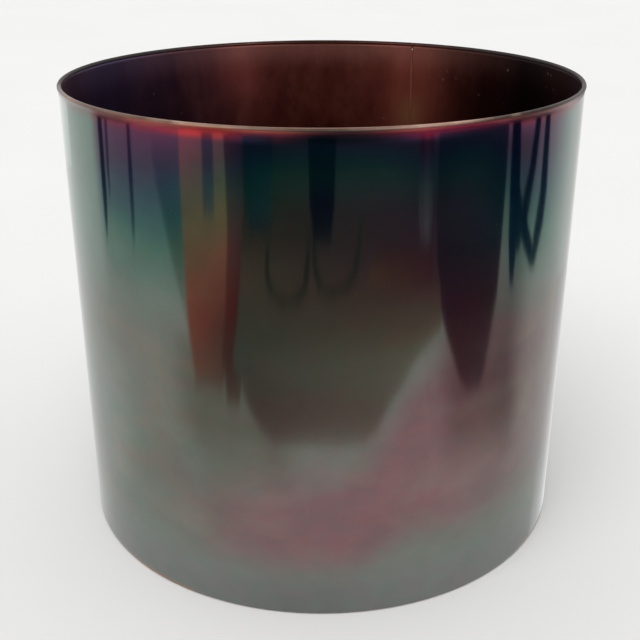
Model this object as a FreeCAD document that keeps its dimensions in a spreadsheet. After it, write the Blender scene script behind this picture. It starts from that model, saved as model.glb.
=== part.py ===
"""Straight-sided metal planter (cachepot).

One rolled sheet makes the wall: its vertical butt joint is brazed, and its top
edge is flared outwards and curled inwards over a stiffening wire.  A flanged
base pan is soldered inside the bottom of the wall, and four rubber bumpers
under the pan carry the pot.

Frame: millimetres, +Z up, origin on the floor at the centre of the footprint.
The front of the pot is -Y; the brazed seam is at the back, towards +X.
"""
import FreeCAD, Part
import math
import os

import Sketcher

os.makedirs("parts", exist_ok=True)
doc = FreeCAD.newDocument("planter")

# --------------------------------------------------------------------------
# driving dimensions (millimetres and degrees)
# --------------------------------------------------------------------------
DIMS = {
    # wall sheet
    "wall_radius": 152.5,        # outside radius of the straight wall
    "sheet_gauge": 0.7,          # thickness of the rolled wall sheet
    "wall_bottom": 1.0,          # height of the wall's lower edge off the floor
    "flare_start": 269.8,        # height where the wall starts to flare
    "flare_radius": 6.0,         # bend radius of the flare on the sheet's outer face
    "flare_angle": 24.0,         # how far the flare leans outwards
    "curl_bore": 0.55,           # inside radius of the wire curl
    "curl_turn": 286.0,          # how far the sheet edge wraps round the wire
    # vertical seam
    "slit_angle": 0.19,          # width of the butt joint, about 0.5 mm
    "seam_azimuth": 64.4,        # where the joint is, from +X towards +Y
    "bead_halfwidth": 1.2,       # half width of the braze bead inside
    "bead_crown": 0.35,          # thickness of the bead at its middle
    "bead_low": 12.0,            # lower end of the bead
    "bead_high": 265.0,          # upper end of the bead
    "bead_root": 0.1,            # reach of the root each side of the wall's inner face
    "root_width": 0.4,           # width of the root
    "seat_gap": 0.02,            # fit between a filler and the face it lies on
    # rim wire
    "wire_radius": 0.5,
    # base pan
    "pan_gauge": 1.0,            # thickness of the base sheet
    "pan_floor": 7.0,            # height of the pan's upper face
    "pan_gap": 0.05,             # radial solder gap between flange and wall
    "pan_bend": 2.5,             # outside bend radius between disc and flange
    # solder fillet between the pan and the wall
    "solder_rise": 3.4,          # climb up the wall above the pan's face
    "solder_spread": 4.8,        # spread over the pan from the flange's outside
    "solder_hollow": 12.0,       # radius of its concave face
    "solder_step": 1.45,         # where it leaves the disc, from the flange's outside
    "solder_dip": 1.25,          # how far it runs down into the groove at the bend
    # rubber bumpers
    "pad_radius": 10.0,          # at the top
    "pad_foot": 9.0,             # at the bottom
    "pad_edge": 1.2,             # rounding of the lower edge
    "pad_cup": 2.4,              # radius of the moulded hollow underneath
    "pad_cup_depth": 1.6,
    "pad_circle": 118.0,         # radius of the circle the pads sit on
}
PAD_AZIMUTHS = {                 # from +X towards +Y
    "foot_pad_back_right": 45.0,
    "foot_pad_back_left": 135.0,
    "foot_pad_front_left": 225.0,
    "foot_pad_front_right": 315.0,
}

sheet = doc.addObject("Spreadsheet::Sheet", "Dims")
for row, (alias, size) in enumerate(DIMS.items(), start=1):
    sheet.set("A%d" % row, alias)
    sheet.set("B%d" % row, repr(size))
    sheet.setAlias("B%d" % row, alias)
doc.recompute()

# Shared radii.  A sketch is drawn at the numbers, and the expressions drive it.
WALL_INSIDE = DIMS["wall_radius"] - DIMS["sheet_gauge"]
PAN_OUTSIDE = WALL_INSIDE - DIMS["pan_gap"]
SEAT = WALL_INSIDE - DIMS["seat_gap"]             # filler lying against the wall
WALL_INSIDE_EXPR = "Dims.wall_radius - Dims.sheet_gauge"
PAN_OUTSIDE_EXPR = WALL_INSIDE_EXPR + " - Dims.pan_gap"
SEAT_EXPR = WALL_INSIDE_EXPR + " - Dims.seat_gap"

# sketch references: the points of an edge, and the sketch's own axes
START, END, MID = 1, 2, 3
H_AXIS, V_AXIS = -1, -2
ORIGIN = (H_AXIS, START)


# --------------------------------------------------------------------------
# helpers
# --------------------------------------------------------------------------
def polar(centre, radius, degrees):
    """Point at an angle on a circle."""
    angle = math.radians(degrees)
    return centre[0] + radius * math.cos(angle), centre[1] + radius * math.sin(angle)


def bearing(centre, point):
    """Angle of a point seen from a centre, in degrees."""
    return math.degrees(math.atan2(point[1] - centre[1], point[0] - centre[0]))


def line(first, last):
    return Part.LineSegment(FreeCAD.Vector(*first, 0), FreeCAD.Vector(*last, 0))


def full_circle(centre, radius):
    return Part.Circle(FreeCAD.Vector(*centre, 0), FreeCAD.Vector(0, 0, 1), radius)


def arc(centre, radius, first, last):
    """Arc counter-clockwise between two angles in degrees."""
    return Part.ArcOfCircle(full_circle(centre, radius), math.radians(first), math.radians(last))


def new_body(label):
    body = doc.addObject("PartDesign::Body", label)
    body.Label = label
    return body


def new_sketch(body, name, role, edges, rules, dimensions):
    """Sketch on an origin plane; each dimension is (expression, constraint arguments...)."""
    sketch = body.newObject("Sketcher::SketchObject", name)
    plane = next(item for item in body.Origin.OriginFeatures if item.Role == role)
    sketch.AttachmentSupport = [(plane, "")]
    sketch.MapMode = "FlatFace"
    sketch.addGeometry(edges, False)
    for rule in rules:
        sketch.addConstraint(Sketcher.Constraint(*rule))
    for expression, *arguments in dimensions:
        index = sketch.addConstraint(Sketcher.Constraint(*arguments))
        sketch.setExpression("Constraints[%d]" % index, expression)
    return sketch


def revolve(body, sketch, name, span=None):
    """Turn about the body's Z: a full turn, or a driven span centred on the sketch."""
    turned = body.newObject("PartDesign::Revolution", name)
    turned.Profile = sketch
    turned.ReferenceAxis = (sketch, ["V_Axis"])
    turned.Angle = 360.0
    turned.Midplane = span is not None
    if span:
        turned.setExpression("Angle", span)
    turned.Refine = False
    sketch.Visibility = False
    body.Tip = turned


def extrude_bead(body, sketch, name):
    """Extrude a section over the height of the bead."""
    sketch.setExpression("AttachmentOffset.Base.z", "Dims.bead_low")
    pad = body.newObject("PartDesign::Pad", name)
    pad.Profile = sketch
    pad.setExpression("Length", "Dims.bead_high - Dims.bead_low")
    pad.Refine = False
    sketch.Visibility = False
    body.Tip = pad


# --------------------------------------------------------------------------
# profile of the rolled sheet: wall, flare and curl, in the (radius, height)
# plane.  Used for the wall itself and for the braze that fills its joint.
# --------------------------------------------------------------------------
FLARE_CENTRE = (DIMS["wall_radius"] + DIMS["flare_radius"], DIMS["flare_start"])
CURL_OUTSIDE = DIMS["curl_bore"] + DIMS["sheet_gauge"]
CURL_CENTRE = polar(FLARE_CENTRE, DIMS["flare_radius"] + CURL_OUTSIDE,
                    180 - DIMS["flare_angle"])


def sheet_profile(body, name):
    outside, inside = DIMS["wall_radius"], WALL_INSIDE
    gauge, bottom = DIMS["sheet_gauge"], DIMS["wall_bottom"]
    flare_start, flare_radius = DIMS["flare_start"], DIMS["flare_radius"]
    flare_angle, turn, bore = DIMS["flare_angle"], DIMS["curl_turn"], DIMS["curl_bore"]
    curl_end = turn - flare_angle
    edges = [
        line((inside, bottom), (outside, bottom)),                              # 0 lower edge
        line((outside, bottom), (outside, flare_start)),                        # 1 wall outside
        arc(FLARE_CENTRE, flare_radius, 180 - flare_angle, 180),                # 2 flare outside
        arc(CURL_CENTRE, CURL_OUTSIDE, -flare_angle, curl_end),                 # 3 curl outside
        line(polar(CURL_CENTRE, CURL_OUTSIDE, curl_end),
             polar(CURL_CENTRE, bore, curl_end)),                               # 4 raw edge
        arc(CURL_CENTRE, bore, -flare_angle, curl_end),                         # 5 curl inside
        arc(FLARE_CENTRE, flare_radius + gauge, 180 - flare_angle, 180),        # 6 flare inside
        line((inside, flare_start), (inside, bottom)),                          # 7 wall inside
    ]
    rules = [
        ("Coincident", 0, END, 1, START),
        ("Tangent", 1, END, 2, END),
        ("Tangent", 2, START, 3, START),
        ("Coincident", 3, END, 4, START),
        ("Coincident", 4, END, 5, END),
        ("Tangent", 5, START, 6, START),
        ("Tangent", 6, END, 7, START),
        ("Coincident", 7, END, 0, START),
        ("Coincident", 2, MID, 6, MID),
        ("Coincident", 3, MID, 5, MID),
        ("Horizontal", 0),
        ("Vertical", 1),
        ("Vertical", 7),
        ("PointOnObject", 3, MID, 4),
    ]
    dimensions = [
        ("Dims.wall_radius", "DistanceX", *ORIGIN, 0, END, outside),
        ("Dims.sheet_gauge", "DistanceX", 0, START, 0, END, gauge),
        ("Dims.wall_bottom", "DistanceY", *ORIGIN, 0, END, bottom),
        ("Dims.flare_start", "DistanceY", *ORIGIN, 1, END, flare_start),
        ("Dims.flare_radius", "Radius", 2, flare_radius),
        ("Dims.curl_bore", "Radius", 5, bore),
        ("Dims.flare_angle", "Angle", 2, math.radians(flare_angle)),
        ("Dims.curl_turn", "Angle", 5, math.radians(turn)),
    ]
    return new_sketch(body, name, "XZ_Plane", edges, rules, dimensions)


# --------------------------------------------------------------------------
# wall_sheet: the rolled sheet, open at its butt joint
# --------------------------------------------------------------------------
def make_wall():
    body = new_body("wall_sheet")
    revolve(body, sheet_profile(body, "wall_profile"), "wall_roll", "360 - Dims.slit_angle")
    # the profile stands opposite the joint, so the body is turned by half a turn more
    body.setExpression("Placement.Rotation.Yaw", "Dims.seam_azimuth - 180")
    return body


# --------------------------------------------------------------------------
# seam_braze: filler metal in the butt joint, with a low bead on the inside
# --------------------------------------------------------------------------
def bead_section(body):
    half_width = DIMS["bead_halfwidth"]
    back_angle = math.degrees(math.asin(half_width / SEAT))
    # the crowned face is an arc through both corners and the crown point
    crown_x = SEAT - DIMS["bead_crown"]
    sagitta = SEAT * math.cos(math.radians(back_angle)) - crown_x
    radius = (half_width ** 2 + sagitta ** 2) / (2 * sagitta)
    crown_angle = math.degrees(math.asin(half_width / radius))
    sagitta_expr = (f"(Dims.bead_crown - ({SEAT_EXPR})"
                    f" * (1 - cos(asin(Dims.bead_halfwidth / ({SEAT_EXPR})))))")
    radius_expr = ("(Dims.bead_halfwidth * Dims.bead_halfwidth"
                   f" + pow({sagitta_expr}; 2)) / (2 * {sagitta_expr})")
    edges = [
        arc((0, 0), SEAT, -back_angle, back_angle),                                  # 0 back
        arc((crown_x + radius, 0), radius, 180 - crown_angle, 180 + crown_angle),    # 1 crown
    ]
    rules = [
        ("Coincident", 0, MID, *ORIGIN),
        ("Coincident", 0, START, 1, END),
        ("Coincident", 0, END, 1, START),
        ("PointOnObject", 1, MID, H_AXIS),
    ]
    dimensions = [
        (SEAT_EXPR, "Radius", 0, SEAT),
        ("2 * Dims.bead_halfwidth", "DistanceY", 0, START, 0, END, 2 * half_width),
        (radius_expr, "Radius", 1, radius),
    ]
    return new_sketch(body, "bead_section", "XY_Plane", edges, rules, dimensions)


def root_section(body):
    """Rectangle across the wall's inner face, narrower than the joint."""
    inner = WALL_INSIDE - DIMS["bead_root"]
    outer = WALL_INSIDE + DIMS["bead_root"]
    half = DIMS["root_width"] / 2
    corners = [(inner, -half), (outer, -half), (outer, half), (inner, half)]
    edges = [line(corners[i], corners[(i + 1) % 4]) for i in range(4)]
    rules = [("Coincident", i, END, (i + 1) % 4, START) for i in range(4)]
    rules += [("Horizontal", 0), ("Vertical", 1), ("Horizontal", 2), ("Vertical", 3)]
    dimensions = [
        (WALL_INSIDE_EXPR + " - Dims.bead_root", "DistanceX", *ORIGIN, 3, START, inner),
        ("2 * Dims.bead_root", "DistanceX", 0, START, 0, END, outer - inner),
        ("Dims.root_width / 2", "DistanceY", *ORIGIN, 3, START, half),
        ("Dims.root_width", "DistanceY", 1, START, 1, END, 2 * half),
    ]
    return new_sketch(body, "root_section", "XY_Plane", edges, rules, dimensions)


def make_braze():
    body = new_body("seam_braze")
    revolve(body, sheet_profile(body, "joint_profile"), "joint_fill", "Dims.slit_angle")
    doc.recompute()
    extrude_bead(body, bead_section(body), "bead")
    # the root ties the bead to the filler in the joint
    extrude_bead(body, root_section(body), "bead_root_pad")
    body.setExpression("Placement.Rotation.Yaw", "Dims.seam_azimuth")
    return body


# --------------------------------------------------------------------------
# rim_wire: closed ring of round wire at the centre of the curl
# --------------------------------------------------------------------------
def make_wire():
    body = new_body("rim_wire")
    reach_expr = "(Dims.flare_radius + Dims.curl_bore + Dims.sheet_gauge)"
    radius_expr = ("Dims.wall_radius + Dims.flare_radius"
                   f" - {reach_expr} * cos(Dims.flare_angle)")
    height_expr = f"Dims.flare_start + {reach_expr} * sin(Dims.flare_angle)"
    edges = [full_circle(CURL_CENTRE, DIMS["wire_radius"])]
    dimensions = [
        ("Dims.wire_radius", "Radius", 0, DIMS["wire_radius"]),
        (radius_expr, "DistanceX", *ORIGIN, 0, MID, CURL_CENTRE[0]),
        (height_expr, "DistanceY", *ORIGIN, 0, MID, CURL_CENTRE[1]),
    ]
    sketch = new_sketch(body, "wire_section", "XZ_Plane", edges, [], dimensions)
    revolve(body, sketch, "wire_ring")
    return body


# --------------------------------------------------------------------------
# base_pan: flat disc with a turned-down flange, recessed into the wall
# --------------------------------------------------------------------------
def make_pan():
    body = new_body("base_pan")
    gauge, bend = DIMS["pan_gauge"], DIMS["pan_bend"]
    top, bottom = DIMS["pan_floor"], DIMS["wall_bottom"]
    outside, inside, under = PAN_OUTSIDE, PAN_OUTSIDE - gauge, top - gauge
    centre = bend_x, bend_z = (outside - bend, top - bend)
    edges = [
        line((0, top), (0, under)),                     # 0 on the axis
        line((0, under), (bend_x, under)),              # 1 under the disc
        arc(centre, bend - gauge, 0, 90),               # 2 inside of the bend
        line((inside, bend_z), (inside, bottom)),       # 3 inside of the flange
        line((inside, bottom), (outside, bottom)),      # 4 lower edge
        line((outside, bottom), (outside, bend_z)),     # 5 outside of the flange
        arc(centre, bend, 0, 90),                       # 6 outside of the bend
        line((bend_x, top), (0, top)),                  # 7 upper face
    ]
    rules = [
        ("Coincident", 0, END, 1, START),
        ("Tangent", 1, END, 2, END),
        ("Tangent", 2, START, 3, START),
        ("Coincident", 3, END, 4, START),
        ("Coincident", 4, END, 5, START),
        ("Tangent", 5, END, 6, START),
        ("Tangent", 6, END, 7, START),
        ("Coincident", 7, END, 0, START),
        ("Coincident", 2, MID, 6, MID),
        ("Horizontal", 1),
        ("Vertical", 3),
        ("Horizontal", 4),
        ("Vertical", 5),
        ("Horizontal", 7),
        ("PointOnObject", 0, START, V_AXIS),
        ("PointOnObject", 0, END, V_AXIS),
    ]
    dimensions = [
        ("Dims.pan_gauge", "DistanceX", 4, START, 4, END, gauge),
        (PAN_OUTSIDE_EXPR, "DistanceX", *ORIGIN, 4, END, outside),
        ("Dims.wall_bottom", "DistanceY", *ORIGIN, 4, END, bottom),
        ("Dims.pan_floor", "DistanceY", *ORIGIN, 0, START, top),
        ("Dims.pan_bend", "Radius", 6, bend),
    ]
    sketch = new_sketch(body, "pan_profile", "XZ_Plane", edges, rules, dimensions)
    revolve(body, sketch, "pan_disc")
    return body


# --------------------------------------------------------------------------
# base_solder_ring: fillet that seals the pan to the wall
# --------------------------------------------------------------------------
def make_solder():
    body = new_body("base_solder_ring")
    top, hollow = DIMS["pan_floor"], DIMS["solder_hollow"]
    face = top + DIMS["seat_gap"]
    step_point = (PAN_OUTSIDE - DIMS["solder_step"], face)      # where it leaves the disc
    groove_point = (SEAT, top - DIMS["solder_dip"])             # down in the groove
    wall_point = (SEAT, top + DIMS["solder_rise"])              # up the wall
    disc_point = (PAN_OUTSIDE - DIMS["solder_spread"], face)    # out on the disc
    # centre of the concave face, on the side away from the corner
    run = wall_point[0] - disc_point[0]
    rise = wall_point[1] - disc_point[1]
    chord = math.hypot(run, rise)
    offset = math.sqrt(hollow ** 2 - chord ** 2 / 4)
    centre = ((disc_point[0] + wall_point[0]) / 2 - rise / chord * offset,
              (disc_point[1] + wall_point[1]) / 2 + run / chord * offset)
    edges = [
        line(step_point, groove_point),                         # 0 over the pan's bend
        line(groove_point, wall_point),                         # 1 on the wall
        arc(centre, hollow, bearing(centre, disc_point),
            bearing(centre, wall_point)),                       # 2 concave face
        line(disc_point, step_point),                           # 3 on the disc
    ]
    rules = [
        ("Coincident", 0, END, 1, START),
        ("Coincident", 1, END, 2, END),
        ("Coincident", 2, START, 3, START),
        ("Coincident", 3, END, 0, START),
        ("Vertical", 1),
        ("Horizontal", 3),
    ]
    dimensions = [
        ("Dims.solder_hollow", "Radius", 2, hollow),
        (PAN_OUTSIDE_EXPR + " - Dims.solder_step",
         "DistanceX", *ORIGIN, 0, START, step_point[0]),
        ("Dims.pan_floor + Dims.seat_gap", "DistanceY", *ORIGIN, 0, START, face),
        (SEAT_EXPR, "DistanceX", *ORIGIN, 1, END, SEAT),
        ("Dims.pan_floor - Dims.solder_dip", "DistanceY", *ORIGIN, 1, START, groove_point[1]),
        ("Dims.pan_floor + Dims.solder_rise", "DistanceY", *ORIGIN, 1, END, wall_point[1]),
        (PAN_OUTSIDE_EXPR + " - Dims.solder_spread",
         "DistanceX", *ORIGIN, 3, START, disc_point[0]),
    ]
    sketch = new_sketch(body, "solder_profile", "XZ_Plane", edges, rules, dimensions)
    revolve(body, sketch, "solder_fillet")
    return body


# --------------------------------------------------------------------------
# rubber bumper, from the underside of the pan down to the floor
# --------------------------------------------------------------------------
def make_bumper(label, azimuth):
    body = new_body(label)
    radius, foot, rounding = DIMS["pad_radius"], DIMS["pad_foot"], DIMS["pad_edge"]
    cup, cup_depth = DIMS["pad_cup"], DIMS["pad_cup_depth"]
    height = DIMS["pan_floor"] - DIMS["pan_gauge"]
    # the rounding is first drawn tangent to the sole and to a side leaning from
    # foot to top radius; the constraints then set its final place
    slope = math.atan2(radius - foot, height)
    centre_x = foot + math.tan(slope) * rounding - rounding / math.cos(slope)
    centre = (centre_x, rounding)
    side_angle = -math.degrees(slope)
    edges = [
        line((0, height), (0, cup_depth)),                              # 0 on the pad's axis
        line((0, cup_depth), (cup, cup_depth)),                         # 1 roof of the hollow
        line((cup, cup_depth), (cup, 0)),                               # 2 side of the hollow
        line((cup, 0), (centre_x, 0)),                                  # 3 sole
        arc(centre, rounding, -90, side_angle),                         # 4 rounded lower edge
        line(polar(centre, rounding, side_angle), (radius, height)),    # 5 slanted side
        line((radius, height), (0, height)),                            # 6 glued face
    ]
    rules = [
        ("Coincident", 0, END, 1, START),
        ("Coincident", 1, END, 2, START),
        ("Coincident", 2, END, 3, START),
        ("Tangent", 3, END, 4, START),
        ("Tangent", 4, END, 5, START),
        ("Coincident", 5, END, 6, START),
        ("Coincident", 6, END, 0, START),
        ("PointOnObject", 0, START, V_AXIS),
        ("PointOnObject", 0, END, V_AXIS),
        ("Horizontal", 1),
        ("Vertical", 2),
        ("PointOnObject", 3, START, H_AXIS),
        ("PointOnObject", 3, END, H_AXIS),
        ("Horizontal", 6),
    ]
    dimensions = [
        ("Dims.pad_radius", "DistanceX", *ORIGIN, 5, END, radius),
        ("Dims.pan_floor - Dims.pan_gauge", "DistanceY", *ORIGIN, 5, END, height),
        ("Dims.pad_edge", "Radius", 4, rounding),
        ("Dims.pad_cup", "DistanceX", *ORIGIN, 2, START, cup),
        ("Dims.pad_cup_depth", "DistanceY", *ORIGIN, 2, START, cup_depth),
        ("Dims.pad_foot - Dims.pad_edge", "DistanceX", *ORIGIN, 3, END, foot - rounding),
    ]
    sketch = new_sketch(body, label + "_profile", "XZ_Plane", edges, rules, dimensions)
    revolve(body, sketch, label + "_turned")
    body.setExpression("Placement.Base.x", "Dims.pad_circle * cos(%g)" % azimuth)
    body.setExpression("Placement.Base.y", "Dims.pad_circle * sin(%g)" % azimuth)
    return body


# --------------------------------------------------------------------------
# build the pieces, check everything, then write one file per piece
# --------------------------------------------------------------------------
pieces = [make_wall(), make_braze(), make_wire(), make_pan(), make_solder()]
pieces += [make_bumper(label, azimuth) for label, azimuth in PAD_AZIMUTHS.items()]

doc.recompute()
for item in doc.Objects:
    faults = [state for state in item.State if state in ("Invalid", "Error")]
    if faults:
        raise RuntimeError("%s: %s" % (item.Label, faults))
for body in pieces:
    shape = body.Shape
    if shape.isNull() or not shape.isValid():
        raise RuntimeError("bad shape: " + body.Label)
    if len(shape.Solids) != 1:
        raise RuntimeError("%s has %d solids" % (body.Label, len(shape.Solids)))
for body in pieces:
    body.Shape.exportStep("parts/%s.step" % body.Label)
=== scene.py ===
"""Looks of a straight-sided copper planter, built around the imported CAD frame.

The pot stands upright on z = 0 with its axis on Z.  Its front faces the camera, towards -Y,
and +X is on the camera's right.  Units are metres; lengths given in millimetres say so.
"""
import math

import bpy
import numpy as np
from mathutils import Matrix, Vector


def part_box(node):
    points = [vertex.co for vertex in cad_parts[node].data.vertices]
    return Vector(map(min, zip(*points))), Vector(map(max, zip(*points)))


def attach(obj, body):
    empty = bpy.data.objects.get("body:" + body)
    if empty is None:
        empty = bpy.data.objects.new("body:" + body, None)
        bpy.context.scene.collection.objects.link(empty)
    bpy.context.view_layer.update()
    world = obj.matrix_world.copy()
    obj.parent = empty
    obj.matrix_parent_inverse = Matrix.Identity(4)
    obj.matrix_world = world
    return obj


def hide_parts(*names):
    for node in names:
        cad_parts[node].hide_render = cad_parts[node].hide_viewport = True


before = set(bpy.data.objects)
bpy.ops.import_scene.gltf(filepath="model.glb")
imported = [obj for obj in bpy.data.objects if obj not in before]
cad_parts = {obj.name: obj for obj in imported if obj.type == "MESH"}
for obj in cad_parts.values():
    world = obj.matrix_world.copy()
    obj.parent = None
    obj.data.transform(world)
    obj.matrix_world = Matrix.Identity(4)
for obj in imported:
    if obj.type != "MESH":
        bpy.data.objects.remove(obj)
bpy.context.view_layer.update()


# ---------------------------------------------------------------------------
# sizes, driven by the CAD frame
# ---------------------------------------------------------------------------
MM = 0.001
wall_low, wall_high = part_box("wall_sheet")
pan_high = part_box("base_pan")[1]
ring_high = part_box("base_solder_ring")[1]

Z_TOP = wall_high.z                     # top of the lip
Z_LOW = wall_low.z                      # lower edge of the wall
GAUGE = 0.7 * MM                        # wall thickness
R_IN = ring_high.x + 0.02 * MM          # inside of the wall
R_OUT = R_IN + GAUGE                    # outside of the straight wall

Z_FLARE = Z_TOP - 4.199 * MM            # where the flare starts
R_FLARE = 6.0 * MM
FLARE_ANGLE = math.radians(24.0)
R_CURL_IN = 0.55 * MM                   # inside radius of the curled lip
R_CURL_OUT = R_CURL_IN + GAUGE
CURL_TURN = math.radians(286.0)
WALL_EDGE = 0.12 * MM                   # rounding of the wall's lower edge
WALL_STEPS = 96
STRAIGHT_POINTS = 3 + WALL_STEPS        # section points below the flare

SEAM_DEGREES = 64.4                     # azimuth of the seam, from +X
SEAM = math.radians(SEAM_DEGREES)
SLIT = math.radians(0.19)               # angle left open for the seam
SEAM_FILL = 0.985                       # share of the slit that the braze fills

Z_PAN = pan_high.z
R_PAN = pan_high.x
PAN_GAUGE = 1.0 * MM
PAN_BEND = 2.5 * MM                     # outer radius of the bend into the flange
BEND_R = R_PAN - PAN_BEND               # centre of that bend
BEND_Z = Z_PAN - PAN_BEND


# ---------------------------------------------------------------------------
# mesh helpers
# ---------------------------------------------------------------------------
def make_mesh(name, verts, faces):
    """A smooth-shaded object whose faces point outwards."""
    mesh = bpy.data.meshes.new(name)
    mesh.from_pydata([tuple(map(float, v)) for v in verts], [], [tuple(f) for f in faces])
    mesh.validate(verbose=False)
    mesh.polygons.foreach_set("use_smooth", [True] * len(mesh.polygons))
    mesh.update()
    mesh.calc_loop_triangles()
    corners = np.empty(len(mesh.loop_triangles) * 3, np.int32)
    mesh.loop_triangles.foreach_get("vertices", corners)
    places = np.empty(len(mesh.vertices) * 3, np.float32)
    mesh.vertices.foreach_get("co", places)
    tris = places.reshape(-1, 3).astype(np.float64)[corners.reshape(-1, 3)]
    volume = np.einsum("ij,ij->i", tris[:, 0], np.cross(tris[:, 1], tris[:, 2])).sum()
    if volume < 0:
        mesh.flip_normals()
        mesh.update()
    ob = bpy.data.objects.new(name, mesh)
    bpy.context.scene.collection.objects.link(ob)
    return ob


def around(radius, azimuth, z):
    """The point at this radius, azimuth from +X and height."""
    return (radius * math.cos(azimuth), radius * math.sin(azimuth), z)


def on_arc(centre, radius, angle):
    return (centre[0] + radius * math.cos(angle), centre[1] + radius * math.sin(angle))


def bridge(rings):
    """Quads between neighbouring closed rings of vertex numbers."""
    faces = []
    for ring, after in zip(rings, rings[1:]):
        for j in range(len(ring)):
            k = (j + 1) % len(ring)
            faces.append((ring[j], after[j], after[k], ring[k]))
    return faces


def revolve(name, profile, segments, wobble):
    """Solid of revolution from a section that starts and ends on the axis.
    wobble(azimuth, radius) gives the shift in radius and height."""
    verts, rings = [], []
    for radius, z in profile:
        if radius < 1e-9:
            rings.append([len(verts)] * segments)
            verts.append((0, 0, z))
            continue
        ring = []
        for azimuth in 2 * math.pi * np.arange(segments) / segments:
            out, up = wobble(azimuth, radius)
            ring.append(len(verts))
            verts.append(around(radius + out, azimuth, z + up))
        rings.append(ring)
    faces = []
    for ring, after in zip(rings, rings[1:]):
        for i in range(segments):
            k = (i + 1) % segments
            # a ring on the axis is one vertex, so its quads become triangles
            face = tuple(dict.fromkeys((ring[i], ring[k], after[k], after[i])))
            if len(face) >= 3:
                faces.append(face)
    return make_mesh(name, verts, faces)


# ---------------------------------------------------------------------------
# wall
# ---------------------------------------------------------------------------
def wall_profile():
    """Paired outside and inside points (radius, height), from the lower edge up to the
    raw edge in the curl."""
    outer, inner = [], []
    for inset, rise in ((1, 0), (0.3, 0.25), (0, 1)):
        z = Z_LOW + rise * WALL_EDGE
        outer.append((R_OUT - inset * WALL_EDGE, z))
        inner.append((R_IN + inset * WALL_EDGE, z))
    z_start = Z_LOW + WALL_EDGE
    for i in range(1, WALL_STEPS + 1):
        z = z_start + (Z_FLARE - z_start) * (i / WALL_STEPS)
        outer.append((R_OUT, z))
        inner.append((R_IN, z))

    flare_steps, curl_steps = 14, 44
    flare_r = R_OUT + R_FLARE
    for i in range(1, flare_steps + 1):
        a = FLARE_ANGLE * i / flare_steps
        for points, radius in ((outer, R_FLARE), (inner, R_FLARE + GAUGE)):
            points.append((flare_r - radius * math.cos(a), Z_FLARE + radius * math.sin(a)))
    reach = R_FLARE + R_CURL_OUT
    centre = (flare_r - reach * math.cos(FLARE_ANGLE), Z_FLARE + reach * math.sin(FLARE_ANGLE))
    for i in range(1, curl_steps + 1):
        a = -FLARE_ANGLE + CURL_TURN * i / curl_steps
        outer.append(on_arc(centre, R_CURL_OUT, a))
        inner.append(on_arc(centre, R_CURL_IN, a))
    # the raw edge is a little rounded: (share of 0.1 mm onwards, share of gauge drawn in)
    for onward, pull in ((0.5, 0.10), (1.0, 0.26)):
        a = -FLARE_ANGLE + CURL_TURN + 0.10 * onward * MM / R_CURL_OUT
        outer.append(on_arc(centre, R_CURL_OUT - pull * GAUGE, a))
        inner.append(on_arc(centre, R_CURL_IN + pull * GAUGE, a))
    return np.array(outer), np.array(inner)


WALL_OUTER, WALL_INNER = wall_profile()


def random_waves(seed, count):
    """Phases and amplitudes of a set of waves."""
    rng = np.random.RandomState(seed)
    return rng.uniform(0, 2 * math.pi, count), rng.uniform(-1, 1, count)


def sheet_wave(az, z):
    """Radial unevenness of the rolled sheet: slow flats and a hint of ovality.  It fades
    out towards the rim and the foot."""
    wave = 0.16 * MM * np.cos(2 * az + 0.7)
    phase, size = random_waves(11, 14)
    for k in range(14):
        turns = 3 + int(k * 1.3)
        climb = (0.6 + 0.42 * (k % 5)) / 0.1
        wave = wave + (0.030 * MM * size[k] * np.cos(turns * az + phase[k])
                       * np.cos(climb * z + 2.1 * phase[(k * 5) % 14]))
    phase, size = random_waves(29, 10)
    for k in range(10):
        wave = wave + 0.0035 * MM * size[k] * np.cos((14 + 3 * k) * az + phase[k] + 9.0 * z)
    rim_fade = np.clip((Z_TOP - z) / (30 * MM), 0.12, 1.0)
    foot_fade = np.clip((z - Z_LOW - 12 * MM) / (40 * MM), 0.0, 1.0)
    return wave * (rim_fade * foot_fade)


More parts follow.
